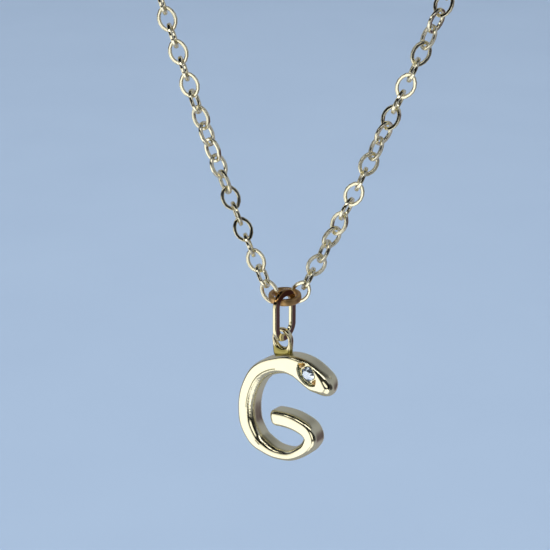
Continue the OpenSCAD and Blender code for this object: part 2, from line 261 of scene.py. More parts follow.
# %% Panels and dark patches
# azimuth, height, half width of the even part and of the faded edge, all in degrees, then the red,
# green and blue that the panel adds
PANELS = [
    (-152, -23, 24, 31, 0.95, 0.95, 0.95),
    (-153, 28, 3, 7, 2.2, 2.2, 2.2),
    (-137, 37, 4, 8, 2.4, 2.4, 2.4),
    (-116, 46, 5, 9, 2.6, 2.6, 2.6),
    (-93, 47, 6, 10, 2.4, 2.4, 2.4),
    (-72, 43, 5, 9, 2.2, 2.2, 2.2),
    (-94, -47, 15, 22, 0.9, 0.9, 0.9),
    (-82, -31, 6, 9, 1.2, 1.2, 1.2),
    (-93, -2, 12, 16, 1.25, 1.25, 1.25),
    (-57, -22, 2, 6, 0.35, 0.35, 0.35),
    (28, -20, 20, 44, 0.04, 0.014, 0.034),
]
# azimuth, height, even part, faded edge, and how much of the light is taken away
SCREENS = [
    (0, 90, 36, 46, 0.95),
    (-102, 10, 42, 51, 0.96),
    (-150, 12, 24, 32, 0.94),
    (-170, 46, 16, 24, 0.9),
    (140, 50, 12, 18, 0.9),
    (-46, -2, 22, 32, 0.9),
    (26, -13, 18, 28, 0.93),
    (172, -10, 12, 20, 0.9),
]

SKY_COLOUR = (0.33, 0.352, 0.42)
glow = 1.0
for *shape, share in SCREENS:
    kept = add_node(sky, "ShaderNodeMath", {"operation": "MULTIPLY_ADD"},
                    _0=patch(*shape), _1=-share, _2=1.0).outputs[0]
    glow = add_node(sky, "ShaderNodeMath", {"operation": "MULTIPLY"}, _0=glow, _1=kept).outputs[0]
tint = add_node(sky, "ShaderNodeVectorMath", {"operation": "SCALE"},
                _0=SKY_COLOUR, Scale=glow).outputs[0]
for *shape, red, green, blue in PANELS:
    light = add_node(sky, "ShaderNodeVectorMath", {"operation": "SCALE"}, _0=(red, green, blue),
                     Scale=patch(*shape)).outputs[0]
    tint = add_node(sky, "ShaderNodeVectorMath", {"operation": "ADD"}, _0=tint, _1=light).outputs[0]
shine = add_node(sky, "ShaderNodeBackground", Color=tint, Strength=1.0)
add_node(sky, "ShaderNodeOutputWorld", Surface=shine.outputs[0])
print("sky:", len(PANELS), "panels and", len(SCREENS), "dark patches")

# %% [markdown]
# ## Surfaces as grids
# Almost every piece here is a skin over a grid of points: rows along a path, columns round a section.
# Blender's own curve bevels could sweep a section too, but a grid lets the section change along the
# way. One function numbers the faces of such a grid, and one puts points and faces into a mesh.

# %% Faces of a grid, and a mesh from arrays
def grid_faces(rows, columns, loop):
    """Four corner numbers for each cell of a grid whose columns close up. Where loop is true its rows
    close up too."""
    i = np.arange(rows if loop else rows - 1)[:, None] * columns
    j = np.arange(columns)[None, :]
    below = (i + columns) % (rows * columns)
    ahead = (j + 1) % columns
    return np.stack([i + j, i + ahead, below + ahead, below + j], axis=-1).reshape(-1, 4)


def fan_faces(row, columns, pole, flip):
    """Triangles from one end row of a grid to a single pole point."""
    j = np.arange(columns)
    ends = row * columns + j, row * columns + (j + 1) % columns
    first, second = ends if flip else ends[::-1]
    return np.stack([first, second, np.full(columns, pole)], axis=-1)


def make_piece(name, points, faces, material, body):
    """A mesh object at the origin from points in millimetres and arrays of faces. It is shaded smooth
    and rides on a body of the model."""
    mesh = bpy.data.meshes.new(name)
    mesh.from_pydata((np.asarray(points) * MM).tolist(), [], [f for part in faces for f in part.tolist()])
    mesh.polygons.foreach_set("use_smooth", np.ones(len(mesh.polygons), dtype=bool))
    mesh.materials.append(material)
    mesh.update()
    piece = bpy.data.objects.new(name, mesh)
    bpy.context.scene.collection.objects.link(piece)
    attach(piece, body)
    print(f"{name}: {len(mesh.vertices)} points, {len(mesh.polygons)} faces")
    return piece


def rounded(across, deep, power, count):
    """Closed section with soft corners, a superellipse: across and deep times the cosine and the sine
    of an angle, each raised to two over the power with its sign kept."""
    a = 2 * np.pi * (np.arange(count) + 0.5) / count
    c, s = np.cos(a), np.sin(a)
    squash = 2 / power
    return np.stack([across / 2 * np.sign(c) * np.abs(c) ** squash,
                     deep / 2 * np.sign(s) * np.abs(s) ** squash], axis=-1)


def pressed(across, deep, r, per_corner):
    """Closed section of pressed wire, a rectangle with quarter circles of radius r at its corners.
    Each side has two more points near its ends, which keep it flat under smooth shading."""
    a = np.radians(np.linspace(0, 90, per_corner) + 90 * np.arange(4)[:, None])
    middle = np.array([[1, 1], [-1, 1], [-1, -1], [1, -1]]) * (np.array([across, deep]) / 2 - r)
    corner = middle[:, None] + r * np.stack([np.cos(a), np.sin(a)], axis=-1)
    start, end = corner[:, -1:], np.roll(corner[:, :1], -1, axis=0)
    edge = 0.12
    on_side = [(1 - edge) * start + edge * end, edge * start + (1 - edge) * end]
    return np.concatenate([corner, *on_side], axis=1).reshape(-1, 2)

# %% [markdown]
# ## Gold plate
# The letter, bail and chain are cast and stamped brass under a thin layer of gold, tumbled until they
# shine. To the eye that is a pale yellow mirror that isn't quite even: the polish leaves a fine grain
# that blurs edges of reflections, and casting leaves broad shallow waves that bend them. Both are
# drawn as bumps, and other noises make the gloss and the colour vary a little. A piece may also carry
# the attributes dull and grainy, each from 0 to 1, for places that the polishing reached less.

# %% Material: gold-plated brass
DULL_ADDS, GRAINY_ADDS_UM = 0.22, 30


def gold_plate(name, pale, deep, gloss, wave_um, grain_um, painted_band=None):
    """Metal with two tones mixed by a noise of 2 mm. A noise of 0.6 mm takes the roughness from one value
    of gloss to the other, plus 0.22 times dull. The bumps are waves of 1.6 mm and grain of 0.22 mm with
    their heights in micrometres, the grain 30 more where it is grainy. The last argument holds two
    heights in millimetres, where a painted colour begins and where it is complete, and that colour,
    painted over the plate: a painted reflection on the bail's top and painted shade under the eye."""
    material = bpy.data.materials.new(name)
    material.use_nodes = True
    tree = material.node_tree
    tree.nodes.clear()
    spot = add_node(tree, "ShaderNodeTexCoord").outputs["Object"]
    tone = add_node(tree, "ShaderNodeTexNoise", Vector=spot, Scale=grain(2), Detail=3.0)
    colour = add_node(tree, "ShaderNodeMixRGB", Fac=tone.outputs["Fac"], Color1=linear(pale),
                      Color2=linear(deep)).outputs["Color"]
    # Between two heights the colour is mixed towards another one: a painted reflection on the bail's top,
    # painted shade under the eye's hole.
    if painted_band:
        height = add_node(tree, "ShaderNodeSeparateXYZ", Vector=spot).outputs["Z"]
        painted = add_node(tree, "ShaderNodeMapRange", {"interpolation_type": "SMOOTHSTEP"}, Value=height,
                        From_Min=painted_band[0] * MM, From_Max=painted_band[1] * MM)
        colour = add_node(tree, "ShaderNodeMixRGB", Fac=painted.outputs["Result"], Color1=colour,
                          Color2=linear(painted_band[2])).outputs["Color"]
    polish = add_node(tree, "ShaderNodeTexNoise", Vector=spot, Scale=grain(0.6), Detail=4.0)
    even = add_node(tree, "ShaderNodeMapRange", Value=polish.outputs["Fac"], From_Min=0.3, From_Max=0.7,
                    To_Min=gloss[0], To_Max=gloss[1])
    dull = add_node(tree, "ShaderNodeAttribute", {"attribute_name": "dull"})
    grainy = add_node(tree, "ShaderNodeAttribute", {"attribute_name": "grainy"})
    rough = add_node(tree, "ShaderNodeMath", {"operation": "MULTIPLY_ADD"}, _0=dull.outputs["Fac"],
                     _1=DULL_ADDS, _2=even.outputs["Result"])
    depth = add_node(tree, "ShaderNodeMath", {"operation": "MULTIPLY_ADD"}, _0=grainy.outputs["Fac"],
                     _1=GRAINY_ADDS_UM / 1000, _2=grain_um / 1000)
    bumps = add_node(tree, "ShaderNodeMath", {"operation": "MULTIPLY"}, _0=depth.outputs[0], _1=MM)
    waves = add_node(tree, "ShaderNodeTexNoise", Vector=spot, Scale=grain(1.6), Detail=1.0)
    fine = add_node(tree, "ShaderNodeTexNoise", Vector=spot, Scale=grain(0.22), Detail=2.0)
    swell = add_node(tree, "ShaderNodeBump", Strength=1.0, Distance=wave_um * MM / 1000,
                     Height=waves.outputs["Fac"])
    bump = add_node(tree, "ShaderNodeBump", Strength=1.0, Distance=bumps.outputs[0],
                    Height=fine.outputs["Fac"], Normal=swell.outputs["Normal"])
    metal = add_node(tree, "ShaderNodeBsdfPrincipled", Base_Color=colour, Metallic=1.0,
                     Roughness=rough.outputs[0], Normal=bump.outputs["Normal"])
    add_node(tree, "ShaderNodeOutputMaterial", Surface=metal.outputs["BSDF"])
    return material

# %% [markdown]
# One kind of plate isn't enough, because the pieces were finished differently. The letter is tumbled and
# keeps broad waves, the chain's wire is drawn and smoother, and the beads were cut bright with a graver;
# their deeper orange is a painted glint of light bounced in the recess. The jump ring is painted a redder
# brown, which is painted shade and a painted reflection of the gold round it. The top of the bail, which
# rides on it, is painted with the ring's brown as a painted reflection.

# %% The plate of each piece
letter_gold = gold_plate("tumbled_gold_plated_brass", "#F9F3D0", "#F6EDC4", (0.09, 0.16), 26, 3)
wire_gold = gold_plate("gold_plated_brass_wire", "#FCF7DC", "#F6EDC8", (0.1, 0.18), 10, 2)
# From the ring's lowest point up, the bail's top is painted the jump ring's brown: a painted reflection
# of the ring on it.
bail_height = (ring_front - nape)[2]
bail_gold = gold_plate("bail_gold_painted_ring_reflection", "#F9F0CA", "#F1E2B0", (0.06, 0.12), 8, 2,
                       (bail_height, bail_height + 0.8, "#A9814F"))
# The jump ring's darker, redder brown is painted shade and a painted reflection of the gold round it.
ring_gold = gold_plate("ring_gold_painted_shade_and_reflection", "#DDB87E", "#B78E5A", (0.34, 0.46), 18, 4)
# The beads' deeper orange is a painted glint, standing for light that bounces in the recess.
bead_gold = gold_plate("bead_gold_painted_glints", "#FFE0A2", "#F6C67E", (0.2, 0.3), 6, 1)
print(f"the bail's worn top begins {-bail_height:.2f} mm below the nape")

# %% [markdown]
# ## Letter
# The letter is a stroke of changing width bent into a G, with soft edges, cast in one piece. Sculpting
# it or bevelling a text object wouldn't give the same swelling head and thin foot, so its surface is
# a function of two parameters: the distance along the middle line, and the way round the section.
# The section is a rectangle with rounded corners whose front and back bulge a little, as tumbling
# leaves them.

# %% Middle line and width of the letter
LETTER_H, STROKE_W, LETTER_DEEP, CROWN = 14.2, 2.15, 2.25, 0.03
EDGE_R, INNER_R, BOW_R, TIP_R = 0.55, 0.9, 0.34, 1.05
HEAD_ROUND, BAR_ROUND, TIP_BLUNT, BAR_BLUNT = 1.5, 0.9, 0.8, 0.6
RECESS_LEN, RECESS_WIDE, RECESS_DEEP, RIM = 3.3, 2.4, 0.45, 0.45
RECESS_SLANT, RECESS_LIFT = np.radians(-41), 0.07
stroke = np.array([
    [0.613, 0.840, 1.00], [0.493, 0.904, 1.00], [0.397, 0.943, 1.00], [0.294, 0.981, 1.00],
    [0.192, 1.000, 1.00], [0.082, 0.992, 1.00], [-0.040, 0.949, 1.00], [-0.164, 0.885, 1.00],
    [-0.277, 0.787, 1.00], [-0.357, 0.654, 1.00], [-0.407, 0.509, 1.02], [-0.424, 0.362, 1.06],
    [-0.410, 0.224, 1.10], [-0.334, 0.097, 1.04], [-0.194, 0.023, 0.84], [-0.033, 0.000, 0.68],
    [0.122, 0.030, 0.62], [0.252, 0.114, 0.68], [0.347, 0.218, 0.78], [0.374, 0.308, 0.88],
    [0.332, 0.364, 0.93], [0.232, 0.395, 0.93], [0.099, 0.404, 0.93], [-0.020, 0.390, 0.92],
    [-0.119, 0.371, 0.90],
])
stroke_curve = smooth_curve(stroke)
letter_line = (LETTER_H - STROKE_W) * np.stack(
    [stroke_curve[:, 0], np.zeros(len(stroke_curve)), stroke_curve[:, 1]], axis=-1)
letter_steps = distances(letter_line)
letter_span = letter_steps[-1]
recess_at = 1.09 * RECESS_LEN
head_at, head_reach = 0.9 * recess_at, 0.81 * RECESS_LEN


def stroke_width(s):
    """The stroke's own width at distance s, eased into the wider head by a bell curve over the
    recess."""
    bell = np.exp(-((s - head_at) / head_reach) ** 2)
    own = STROKE_W * np.interp(s, letter_steps, stroke_curve[:, 2])
    return own + (RECESS_WIDE + 2 * RIM - STROKE_W) * bell


BODY_STEPS = 72
body_s = letter_span * (np.arange(1, BODY_STEPS + 1) - 0.5) / BODY_STEPS
body_w = stroke_width(body_s)
balance_x = (place(letter_line, body_s)[:, 0] @ body_w) / body_w.sum()
print(f"middle line {letter_span:.2f} mm long, the letter balances {balance_x:.3f} mm from its middle")

# %% [markdown]
# The letter hangs straight because the eye stands over its point of balance. From there its place
# follows by adding lengths: the eye stands on the upper arm, the bail's foot lies in the eye, and the
# bail's top lies over the front of the ring. Measuring the CAD node would give the same place, but
# not the places of the eye and the bail, which are made here too.

# %% Where the letter hangs
EYE_OD, EYE_BAND, EYE_THICK, EYE_SIDE, FOOT_H, FOOT_WIDE = 2.8, 0.45, 0.75, 0.2, 0.6, 2.4
BAIL_LEN, BAIL_WIDE, BAIL_BAND, BAIL_THICK = 6.3, 3.75, 0.85, 0.5
HANG_GAP, BAIL_GAP, LETTER_TURN = 0.2, 0.34, np.radians(-22.7)
eye_x = balance_x - EYE_SIDE
arm = place(letter_line, letter_span * np.arange(BODY_STEPS // 3 + 1) / BODY_STEPS)
arm_z = np.interp(-eye_x, -arm[:, 0], arm[:, 2])
eye_z = arm_z + STROKE_W / 2 + FOOT_H + EYE_OD / 2
eye_bore = EYE_OD - 2 * EYE_BAND
bail_top_z = RING_HIGH / 2 + BAIL_GAP + BAIL_BAND / 2
bail_foot_z = bail_top_z + BAIL_BAND - BAIL_LEN
eye_hang = np.sqrt((eye_bore / 2) ** 2 - EYE_SIDE**2)
letter_base = np.array([-balance_x, 0, bail_foot_z + BAIL_BAND / 2 + HANG_GAP - eye_hang - eye_z])


def hung(points):
    """Points of the hanging pieces, turned with the letter and moved to the ring's lowest point."""
    return turned(points, LETTER_TURN) + ring_front - nape


print("middle of the eye:", np.round(hung(letter_base + [eye_x, 0, eye_z]), 2), "mm")

# %% [markdown]
# The stone sits in a pointed oval recess that is cut into the head. Cutting it with a Boolean would
# leave long thin faces on a curved skin, so the front of the skin is pushed in instead, by a depth
# that is a function of the place: nothing outside the oval, a steep wall along it, a flat floor, and
# a cone under the stone.

# %% Depth of the recess
STONE_D, STONE_GAP = 1.8, 0.05
CROWN_H, GIRDLE_H, PAVILION_H = 0.16 * STONE_D, 0.04 * STONE_D, 0.42 * STONE_D
WALL = 0.13


def letter_across(s):
    """Unit vector across the stroke, in the letter's plane, towards the inside of the G."""
    d = heading(letter_line, s, 0.05)
    return np.stack([-d[..., 2], np.zeros(d.shape[:-1]), d[..., 0]], axis=-1)


recess_shift = RECESS_LIFT * RECESS_WIDE * letter_across(np.array(recess_at))
recess_middle = place(letter_line, recess_at) - recess_shift


def in_recess(points):
    """Places along and across the recess: offsets from its middle, turned back by its slant."""
    x, z = points[..., 0] - recess_middle[0], points[..., 2] - recess_middle[2]
    c, s = np.cos(RECESS_SLANT), np.sin(RECESS_SLANT)
    return x * c + z * s, z * c - x * s


def eased(t):
    """Smooth step: 3 t squared minus 2 t cubed, with t held between 0 and 1."""
    t = np.clip(t, 0, 1)
    return t * t * (3 - 2 * t)


def recess_depth(points):
    """The oval lies between two arcs, so a point's distance inside it is the arcs' radius minus its
    distance from the further arc's centre. The wall eases from 0 to the floor over that distance,
    and the stone's seat is a cone round the middle."""
    along, across = in_recess(points)
    arc_r = (RECESS_LEN**2 + RECESS_WIDE**2) / (4 * RECESS_WIDE)
    inside = arc_r - np.hypot(along, np.abs(across) + arc_r - RECESS_WIDE / 2)
    seat_r = STONE_D / 2 + STONE_GAP
    radius = np.hypot(along, across)
    cone = CROWN_H + GIRDLE_H + (seat_r - radius) * PAVILION_H / (STONE_D / 2)
    floor = RECESS_DEEP * eased(inside / WALL)
    return np.where(radius < 0.94 * seat_r, np.maximum(floor, cone), floor)


print(f"the recess is {float(recess_depth(recess_middle)):.2f} mm deep under the stone's tip")

# %% [markdown]
# The grid of the letter has its columns round the section. They come in seven stretches: two corners
# at the back, the outer side, the outer front corner, the face, the inner front corner and the inner
# side. Every column has a share of the section's flat part and a share of the corner's radius, so the
# radius can differ from place to place while the whole skin stays one grid.

# %% Rows and columns of the letter
# Rows crowd in the rounded ends and over the recess, and columns crowd on the front face
PAST_RECESS, FINE_STEP, PLAIN_STEP, PLAIN_ROWS = 2.1, 0.036, 0.06, 230
cap = np.radians(np.arange(5, 90, 5))
head_rows = HEAD_ROUND * (1 - np.cos(cap))
bar_rows = letter_span - BAR_ROUND * (1 - np.cos(cap[::-1]))
fine_rows = np.arange(HEAD_ROUND, recess_at + PAST_RECESS, FINE_STEP)
plain_rows = np.linspace(fine_rows[-1] + PLAIN_STEP, letter_span - BAR_ROUND, PLAIN_ROWS)
row_s = np.concatenate([head_rows, fine_rows, plain_rows, bar_rows])
row_size = np.concatenate([np.sin(cap) ** TIP_BLUNT, np.ones(len(fine_rows) + len(plain_rows)),
                           np.sin(cap[::-1]) ** BAR_BLUNT])

CORNER, SIDE, FACE = 9, 6, 72
turn = np.linspace(0, np.pi / 2, CORNER)
front = np.linspace(-1, 1, FACE + 2)[1:-1]
flat = np.linspace(-1, 1, SIDE + 2)[1:-1]


def way_round(*stretches):
    """One value for each column, from seven stretches that are arrays or single numbers."""
    counts = (CORNER, CORNER, SIDE, CORNER, FACE, CORNER, SIDE)
    return np.concatenate([np.broadcast_to(v, n) for v, n in zip(stretches, counts)])


flat_x = way_round(1, -1, -1, -1, front, 1, 1)
soft_x = way_round(np.cos(turn), -np.sin(turn), -1, -np.cos(turn), 0, np.sin(turn), 1)
flat_y = way_round(1, 1, -flat, -1, -1, -1, flat)
soft_y = way_round(np.sin(turn), np.cos(turn), 0, -np.sin(turn), -1, -np.cos(turn), 0)
inner_front = way_round(0, 0, 0, 0, (1 + front) / 2, 1, (1 - flat) / 2)
outer_front = way_round(0, 0, (1 + flat) / 2, 1, (1 - front) / 2, 0, 0)
both_front = way_round(0, 0, (1 + flat) / 2, 1, 1, 1, (1 - flat) / 2)
on_front = way_round(0, 0, 0, 1, 1, 1, 0)
print(len(row_s), "rows and", len(flat_x), "columns")

# %% [markdown]
# Casting and tumbling don't leave one radius everywhere. The edge is softer inside the bends, rounder
# still at the tip of the head, where the face runs out to a point, and crisp outside the bow. A Bevel
# modifier gives one radius to every edge that it rounds, so the radius is part of the formula here.

# %% Skin of the letter
# Start, rise, end and fall of the stretch that has each radius, in mm along the middle line
INNER_BENDS, HEAD_TIP, BOW = (6, 3, letter_span - 6, 5), (-1, 1, 2.8, 1.8), (4.5, 2, 19, 4)


def stretch(s, start, rise, end, fall):
    """Weight of each row, 1 between two distances and 0 outside them: a smooth step up over the rise
    after the start, times a smooth step down over the fall before the end."""
    return (eased((s - start) / rise) * eased((end - s) / fall))[:, None]


def letter_skin(s, size):
    """Grid of the letter's surface. Across is the flat part's share of (width / 2 - r) plus the soft
    part's share of r, and depth likewise. The front edges' r changes along the letter and stays under
    half of the thinner size. The depth loses a little towards both sides, which crowns the face, and
    the recess pushes the front in."""
    w, d = (size * stroke_width(s))[:, None], (size * LETTER_DEEP)[:, None]
    softer = (INNER_R - EDGE_R) * stretch(s, *INNER_BENDS)
    rounder = (TIP_R - EDGE_R) * stretch(s, *HEAD_TIP)
    crisper = (EDGE_R - BOW_R) * stretch(s, *BOW)
    r = EDGE_R + softer * inner_front + rounder * both_front - crisper * outer_front
    r = np.minimum(r, 0.47 * np.minimum(w, d))
    x = flat_x * (w / 2 - r) + soft_x * r
    y = (flat_y * (d / 2 - r) + soft_y * r) * (1 - CROWN * (2 * x / w) ** 2)
    points = place(letter_line, s)[:, None] + x[..., None] * letter_across(s)[:, None]
    points[..., 1] = y + np.where(y < 0, recess_depth(points), 0)
    return points


skin = letter_skin(row_s, row_size)
n_rows, n_columns = skin.shape[:2]
letter_points = np.vstack([skin.reshape(-1, 3), place(letter_line, np.array([0.0, letter_span]))])
letter_faces = [
    grid_faces(n_rows, n_columns, False),
    fan_faces(0, n_columns, n_rows * n_columns, False),
    fan_faces(n_rows - 1, n_columns, n_rows * n_columns + 1, True),
]
letter = make_piece("letter_g", hung(letter_points + letter_base), letter_faces, letter_gold, "letter")
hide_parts("letter")

# %% [markdown]
# Tumbling reached the face better than the walls, which are duller, and hardly reached the inner edge
# of the upper bend, which keeps the casting's grain. Painting two masks would do, but both places
# are already known from the rows and columns, so each becomes an attribute that the plate reads.

# %% Dull walls and a grainy bend
GRAINY_POINT, GRAINY_REACH = 8.6, 2.2
on_wall = eased((np.abs(soft_x) - 0.75) / 0.25) + 0 * row_s[:, None]
stroke_point = np.interp(row_s, letter_steps, np.arange(len(letter_steps)) / CURVE_STEPS)
near_bend = np.exp(-((stroke_point - GRAINY_POINT) / GRAINY_REACH) ** 2)
inner_edge = eased((on_front * (0.6 * flat_x + soft_x) - 0.1) / 0.5)
for name, value in (("dull", on_wall), ("grainy", near_bend[:, None] * inner_edge)):
    layer = letter.data.attributes.new(name, "FLOAT", "POINT")
    layer.data.foreach_set("value", np.concatenate([value.ravel(), [0, 0]]).astype(np.float32))
    print(f"{name}: {(value > 0.5).mean():.0%} of the letter's points")

# %% [markdown]
# ## Beads
# A setter raises small beads of metal at the two ends of the recess and pushes them over the edge of
# the stone. Each is a ball that stands on the floor of the recess, so a little more than half of it
# shows. It is a grid of latitudes and longitudes with two poles, like any ball.

# %% Two beads
BEAD_D, BEAD_RISE = 0.5, 0.35


def ball(count):
    """Unit ball: rows from pole to pole by the angle from the axis, columns round it."""
    tilt = np.pi * np.arange(1, count) / count
    turn = 2 * np.pi * np.arange(2 * count) / (2 * count)
    grid = np.stack([np.sin(tilt)[:, None] * np.cos(turn), np.sin(tilt)[:, None] * np.sin(turn),
                     np.repeat(np.cos(tilt)[:, None], 2 * count, axis=1)], axis=-1)
    points = np.vstack([grid.reshape(-1, 3), [[0, 0, 1], [0, 0, -1]]])
    rows, columns = grid.shape[:2]
    faces = [grid_faces(rows, columns, False)[:, ::-1], fan_faces(0, columns, rows * columns, True),
             fan_faces(rows - 1, columns, rows * columns + 1, False)]
    return points, faces


def out_of_recess(along, across, height):
    """Place in the letter from a place in the recess, the reverse of in_recess, with height counted
    out of the letter's face."""
    c, s = np.cos(RECESS_SLANT), np.sin(RECESS_SLANT)
    return np.stack([recess_middle[0] + along * c - across * s, -LETTER_DEEP / 2 - height,
                     recess_middle[2] + along * s + across * c], axis=-1)


ball_points, ball_faces = ball(14)
for number, side in enumerate((-1, 1)):
    beside_stone = side * (STONE_D / 2 + STONE_GAP + BEAD_D / 2)
    p = ball_points * BEAD_D / 2 + [beside_stone, 0, BEAD_RISE * BEAD_D - RECESS_DEEP]
    placed = out_of_recess(p[:, 0], p[:, 1], p[:, 2])
    make_piece(f"bead_{number + 1}", hung(placed + letter_base), ball_faces, bead_gold, "letter")

# %% [markdown]
# ## Rings, bail and links
# The eye, the jump ring, the bail and every link are wire: one section carried along a closed path in
# a plane. A torus would do for the round ones only, so one function sweeps a section along any flat
# closed path.

# %% Section carried along a closed flat path
# Points round a ring, and round the section of its wire
RING_STEPS, SECTION_STEPS = 96, 24


def sweep(path, outward, section):
    """At each point of a path in the XY plane, the section's first coordinate goes along the path's
    outward direction and its second along Z. The section may differ from point to point."""
    flat_part = path[:, None] + section[..., 0, None] * outward[:, None]
    return np.concatenate([flat_part, section[..., 1, None] + 0 * flat_part[..., :1]], axis=-1)


def circle_path(radius, count):
    """Points of a circle and their outward directions."""
    a = 2 * np.pi * np.arange(count) / count
    outward = np.stack([np.cos(a), np.sin(a)], axis=-1)
    return radius * outward, outward


def upright(points):
    """Points of the XY plane stood up in the letter's plane: Y becomes height and Z faces the
    viewer."""
    return np.stack([points[..., 0], -points[..., 2], points[..., 1]], axis=-1)

# %% [markdown]
# ## Eye
# The eye is a small ring soldered to the top of the letter. Solder fills both corners under the ring,
# so its sides run straight down and its hole stands on a thick bridge. A ring and a block joined by a
# Boolean would have a hard seam, so one band is swept round the hole. Its inside stays a circle while
# its outside changes, and its oval section grows wider downwards.

# %% Eye ring and its solder foot
FOOT_SUNK, CORNER_POWER = 0.4, 12
foot_z = STROKE_W / 2 - FOOT_SUNK
_, eye_out = circle_path(1, RING_STEPS)
foot_lean = (EYE_OD - FOOT_WIDE) / 2 / (eye_z - arm_z)
below = np.maximum(-eye_out[:, 1], 1e-6)
to_side = EYE_OD / 2 / (np.abs(eye_out[:, 0]) + foot_lean * below)
to_foot = (eye_z - arm_z - foot_z) / below
# Below the middle the outside is the nearer of the straight side and the flat foot, and a sum of high
# powers rounds the corner between them
nearer = (to_side**-CORNER_POWER + to_foot**-CORNER_POWER) ** (-1 / CORNER_POWER)
eye_reach = np.where(eye_out[:, 1] < 0, nearer, EYE_OD / 2)
eye_band = eye_reach - eye_bore / 2
eye_stretch = np.stack([eye_band, np.ones(RING_STEPS)], axis=-1)
eye_section = rounded(1, EYE_THICK, 2.3, SECTION_STEPS) * eye_stretch[:, None]
eye_skin = sweep(eye_out * (eye_bore / 2 + eye_band / 2)[:, None], eye_out, eye_section)
eye = upright(eye_skin) + [eye_x, 0, eye_z]
# Below the hole the foot is painted olive: painted shade on the bridge under the hole, whose lower half
# faces down
eye_height = (letter_base + ring_front - nape)[2] + eye_z
eye_gold = gold_plate("eye_gold_painted_shade_below", "#F9F0CC", "#F0E0AC", (0.1, 0.18), 16, 5,
                      (eye_height - 0.75, eye_height - 1.15, "#9C9152"))
eye_faces = grid_faces(*eye_skin.shape[:2], True)[:, ::-1]
make_piece("eye", hung(eye.reshape(-1, 3) + letter_base), [eye_faces], eye_gold, "letter")

# %% [markdown]
# ## Bail
# The bail is a long oval link, stamped from thick flat wire: two half circles joined by straight
# sides. Its band is nearly twice as wide as it is thick, so its flat side shows a dark reflection
# between two bright rims. A bevelled curve would do, but the sweep keeps the edges as crisp as pressed
# wire has them.

# %% Bail
def stadium_path(radius, straight, count, side_count):
    """Closed path with its long way along Y: a half circle above, a straight side, a half circle
    below and a straight side back. Outward directions stay level along the straights."""
    a = np.linspace(0, np.pi, count)
    top = np.stack([np.cos(a), np.sin(a)], axis=-1)
    steps = np.linspace(0, 1, side_count + 2)[1:-1]
    right_side = np.tile([1.0, 0.0], (side_count, 1))
    outward = np.vstack([top, -right_side, -top, right_side])
    shift = np.concatenate([np.zeros(count), -straight * steps, np.full(count, -straight),
                            -straight * (1 - steps)])
    return radius * outward + np.stack([0 * shift, shift], axis=-1), outward


bail_r = (BAIL_WIDE - BAIL_BAND) / 2
bail_path, bail_out = stadium_path(bail_r, BAIL_LEN - BAIL_WIDE, 40, 10)
bail_section = pressed(BAIL_BAND, BAIL_THICK, 0.14, 7)
bail_flat = sweep(bail_path, bail_out, bail_section[None])
bail_points = np.stack([bail_flat[..., 2], bail_flat[..., 0], bail_flat[..., 1]], axis=-1)
bail_points = bail_points + [0, 0, bail_top_z - bail_r]
bail_faces = grid_faces(*bail_flat.shape[:2], True)[:, ::-1]
bail = make_piece("bail", hung(bail_points.reshape(-1, 3)), [bail_faces], bail_gold, "bail")
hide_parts("bail")

# %% [markdown]
# ## Jump ring
# The jump ring is a closed round ring of wire pressed flat, taller than it is thick. It lies nearly
# level and carries the bail in front and the chain at both sides. A flattened torus would be too round
# at its edges, so the same sweep makes it, with a squarer section.

# %% Jump ring
ring_path, ring_out = circle_path(RING_R, RING_STEPS)
ring_flat = sweep(ring_path, ring_out, rounded(RING_BAND, RING_HIGH, 3.0, SECTION_STEPS)[None])
c, s = np.cos(RING_TILT), np.sin(RING_TILT)
ring_tipped = ring_flat @ np.array([[1, 0, 0], [0, c, s], [0, -s, c]])
ring_points = turned(ring_tipped, BAIL_SIDE) + ring_centre
ring_faces = grid_faces(*ring_flat.shape[:2], True)[:, ::-1]
jump_ring = make_piece("jump_ring", ring_points.reshape(-1, 3), [ring_faces], ring_gold, "necklace")
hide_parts("jump_ring")

# %% [markdown]
# ## Chain
# The chain is made of flat oval links, each turned a quarter against the last, so every second one
# shows its hole. An array modifier can't follow the neck and keep each link where the CAD model has
# it, so one link is made and then placed by one product of arrays. The links near the pendant are
# finer, and the many far ones have only a few dozen faces each.

# %% One link
# Radius of the round ends as a share of half the width
END_SHARE = 0.77


def oval_path(inset, end_steps, side_steps):
    """Closed path of four arcs: two round ends and two flatter sides that meet them without a
    corner. Every arc's radius is reduced by the inset."""
    half_l, half_w = LINK_LEN / 2, LINK_WIDE / 2
    end_r = END_SHARE * half_w
    side_r = ((half_l - end_r) ** 2 + half_w**2 - end_r**2) / (2 * (half_w - end_r))
    end_x, side_y = half_l - end_r, side_r - half_w
    meet = np.arctan2(side_y, end_x)
    end = np.linspace(-meet, meet, end_steps, endpoint=False)
    side = np.linspace(meet, np.pi - meet, side_steps, endpoint=False)
    a = np.concatenate([end, side, end + np.pi, side + np.pi])
    radius = np.repeat([end_r, side_r, end_r, side_r], [end_steps, side_steps] * 2) - inset
    centres = [[end_x, 0], [0, -side_y], [-end_x, 0], [0, side_y]]
    centre = np.repeat(centres, [end_steps, side_steps] * 2, axis=0)
    outward = np.stack([np.cos(a), np.sin(a)], axis=-1)
    return centre + radius[:, None] * outward, outward


def link_skin(end_steps, side_steps, section):
    """Points and faces of one link, lying flat along X."""
    path, outward = oval_path(LINK_BAND / 2, end_steps, side_steps)
    points = sweep(path, outward, section[None])
    return points.reshape(-1, 3), grid_faces(len(path), len(section), True)[:, ::-1]

# %% [markdown]
# A chain never lies quite flat: it turns slowly about itself, so that now the even links and now the
# odd ones show their holes. Two short tables give that turn for each side, as link number and degrees,
# read between their rows.

# %% Links in their places
neck_middle_y = nape[1] / 2


